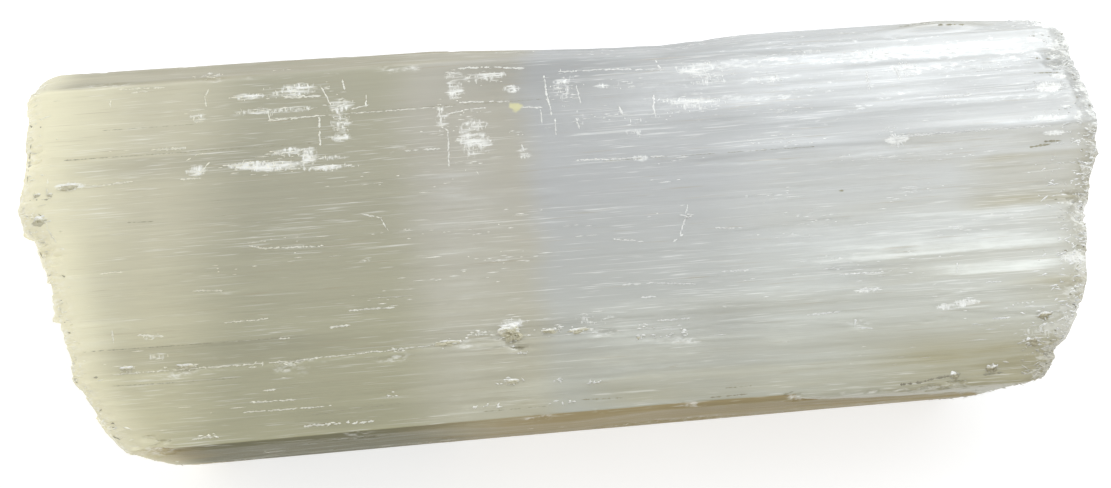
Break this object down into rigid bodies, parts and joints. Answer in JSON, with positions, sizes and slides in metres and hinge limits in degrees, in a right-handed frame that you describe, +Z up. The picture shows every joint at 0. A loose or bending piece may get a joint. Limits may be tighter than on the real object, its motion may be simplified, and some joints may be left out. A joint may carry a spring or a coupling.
{
  "type": "selenite log",
  "caption": "Rough log of fibrous selenite, milky and silky, with long ridged faces and splintery broken ends, lying on its flat side.",
  "frame": {"origin": "on the surface that the log lies on, below the middle of the log's box", "axes": "+X along the fibres, +Y across the widest face towards the bevelled back, +Z up out of the widest face"},
  "size_m": [0.25, 0.0982, 0.0503],
  "materials": {
    "satin_spar": "satin"
  },
  "bodies": {
    "root": {"selenite_log": "satin_spar"}
  },
  "joints": []
}
